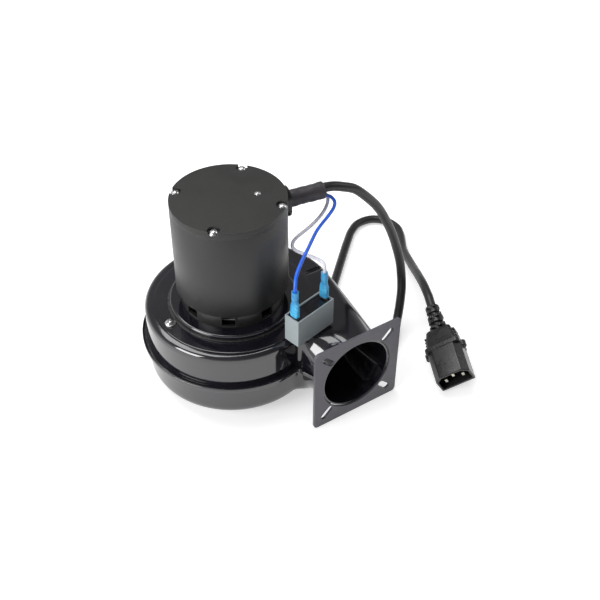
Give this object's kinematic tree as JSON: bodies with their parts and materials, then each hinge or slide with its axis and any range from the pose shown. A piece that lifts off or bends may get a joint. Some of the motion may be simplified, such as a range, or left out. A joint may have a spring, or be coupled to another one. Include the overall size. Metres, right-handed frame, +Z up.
{
  "type": "centrifugal draught blower with motor and wheel",
  "caption": "Centrifugal draught blower: pressed steel scroll with a round flanged outlet, capacitor motor on top, caged wheel inside, and a lead ending in an inlet plug.",
  "frame": {"origin": "centre of the round inlet, on the wheel's axis, in the plane the blower stands on", "axes": "+Z up along the motor shaft, away from the inlet; the outlet faces -Y and lies towards +X"},
  "size_m": [0.289, 0.2263, 0.1629],
  "materials": {
    "black_gloss_paint": "gloss enamel",
    "grey_satin_paint": "satin paint",
    "black_satin_paint": "satin paint",
    "black_matte_paint": "matte paint",
    "dark_grey_paint": "matte grained paint",
    "weld_steel": "painted weld",
    "fibre": "pressed fibre",
    "zinc_steel": "zinc plated",
    "label_paper": "blank film",
    "cast_aluminium": "cast",
    "core_steel": "laminated",
    "copper": "enamelled wire",
    "bearing_steel": "ground",
    "bearing_brass": "pressed",
    "wheel_aluminium": "formed sheet",
    "hub_brass": "turned",
    "black_plastic": "moulded",
    "shrink_sleeve": "shrunk sleeve",
    "grey_plastic": "moulded",
    "black_resin": "poured resin",
    "tab_brass": "tinned",
    "blue_plastic": "clear vinyl",
    "blue_pvc": "wire cover",
    "white_pvc": "wire cover",
    "black_pvc": "cable cover"
  },
  "bodies": {
    "housing": {"upper_shell": "black_gloss_paint", "lower_shell": "black_gloss_paint", "inlet_collar": "black_gloss_paint", "motor_plate": "black_gloss_paint", "motor_seat": "black_gloss_paint", "outlet_flange": "grey_satin_paint", "flange_welds": "weld_steel", "seat_gasket": "fibre", "motor_spacer": "black_satin_paint", "motor_can": "black_matte_paint", "motor_cap": "dark_grey_paint", "earth_screw": "zinc_steel", "can_label": "label_paper", "lower_shield": "cast_aluminium", "upper_shield": "cast_aluminium", "stator_core": "core_steel", "upper_winding": "copper", "lower_winding": "copper", "upper_outer_race": "bearing_steel", "lower_outer_race": "bearing_steel", "gland_plate": "black_plastic", "cable_sleeve": "shrink_sleeve", "sleeve_core": "shrink_sleeve", "capacitor_case": "grey_plastic", "capacitor_filling": "black_resin", "capacitor_bracket": "zinc_steel", "tab_left": "tab_brass", "tab_right": "tab_brass", "terminal_left": "blue_plastic", "terminal_right": "blue_plastic", "wire_blue": "blue_pvc", "wire_white": "white_pvc", "lead": "black_pvc", "plug_relief": "black_pvc", "plug_body": "black_plastic", "plug_pins": "tab_brass", "plate_screw_1": "zinc_steel", "plate_washer_1": "zinc_steel", "plate_screw_2": "zinc_steel", "plate_washer_2": "zinc_steel", "plate_screw_3": "zinc_steel", "plate_washer_3": "zinc_steel", "through_screw_1": "zinc_steel", "through_screw_2": "zinc_steel", "through_screw_3": "zinc_steel", "through_screw_4": "zinc_steel"},
    "rotor": {"shaft": "bearing_steel", "rotor_core": "core_steel", "rotor_rings": "cast_aluminium", "cooling_disc": "cast_aluminium", "wheel_disc": "wheel_aluminium", "wheel_blades": "wheel_aluminium", "wheel_ring": "wheel_aluminium", "wheel_hub": "hub_brass", "wheel_nut": "zinc_steel", "upper_inner_race": "bearing_steel", "lower_inner_race": "bearing_steel"},
    "upper_cage": {"upper_ball_cage": "bearing_brass"},
    "lower_cage": {"lower_ball_cage": "bearing_brass"}
  },
  "joints": [
    {"name": "rotor_spin", "type": "hinge", "parent": "housing", "child": "rotor", "pos_m": [0, 0, 0.12], "axis": [0, 0, 1], "continuous": true},
    {"name": "upper_cage_spin", "type": "hinge", "parent": "housing", "child": "upper_cage", "pos_m": [0, 0, 0.1442], "axis": [0, 0, 1], "continuous": true},
    {"name": "lower_cage_spin", "type": "hinge", "parent": "housing", "child": "lower_cage", "pos_m": [0, 0, 0.0925], "axis": [0, 0, 1], "continuous": true}
  ],
  "couplings": [
    {"joint": "upper_cage_spin", "follows": "rotor_spin", "ratio": 0.3693},
    {"joint": "lower_cage_spin", "follows": "rotor_spin", "ratio": 0.3693}
  ]
}
